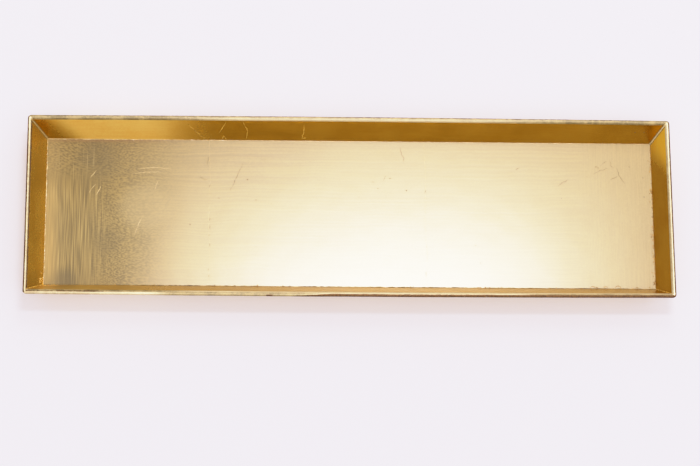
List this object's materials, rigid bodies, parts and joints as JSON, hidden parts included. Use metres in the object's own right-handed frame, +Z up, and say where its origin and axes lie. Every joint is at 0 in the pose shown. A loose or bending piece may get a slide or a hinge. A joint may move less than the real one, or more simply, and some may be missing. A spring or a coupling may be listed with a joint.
{
  "type": "desk tray",
  "caption": "Long shallow desk tray with leaning, mitred board walls round a let-in base, finished in metal leaf.",
  "frame": {"origin": "on the surface that the tray stands on, under the middle of the tray", "axes": "+X along the tray's length to its right end, +Y across it to the back wall, +Z up out of the tray"},
  "size_m": [0.406, 0.117, 0.0233],
  "materials": {
    "floor_leaf": "board under a dark ground and varnished metal leaf in pale old gold",
    "wall_leaf": "board under a dark ground and varnished metal leaf in amber gold",
    "spline_ply": "bare thin ply",
    "pin_steel": "plain drawn wire",
    "pad_felt": "pressed felt"
  },
  "bodies": {
    "root": {"base_panel": "floor_leaf", "front_wall": "wall_leaf", "back_wall": "wall_leaf", "left_wall": "wall_leaf", "right_wall": "wall_leaf", "corner_spline_front_left": "spline_ply", "corner_spline_front_right": "spline_ply", "corner_spline_back_left": "spline_ply", "corner_spline_back_right": "spline_ply", "pin_front_1": "pin_steel", "pin_front_2": "pin_steel", "pin_front_3": "pin_steel", "pin_back_1": "pin_steel", "pin_back_2": "pin_steel", "pin_back_3": "pin_steel", "pin_left_1": "pin_steel", "pin_right_1": "pin_steel", "felt_pad_front_left": "pad_felt", "felt_pad_front_right": "pad_felt", "felt_pad_back_left": "pad_felt", "felt_pad_back_right": "pad_felt"}
  },
  "joints": []
}
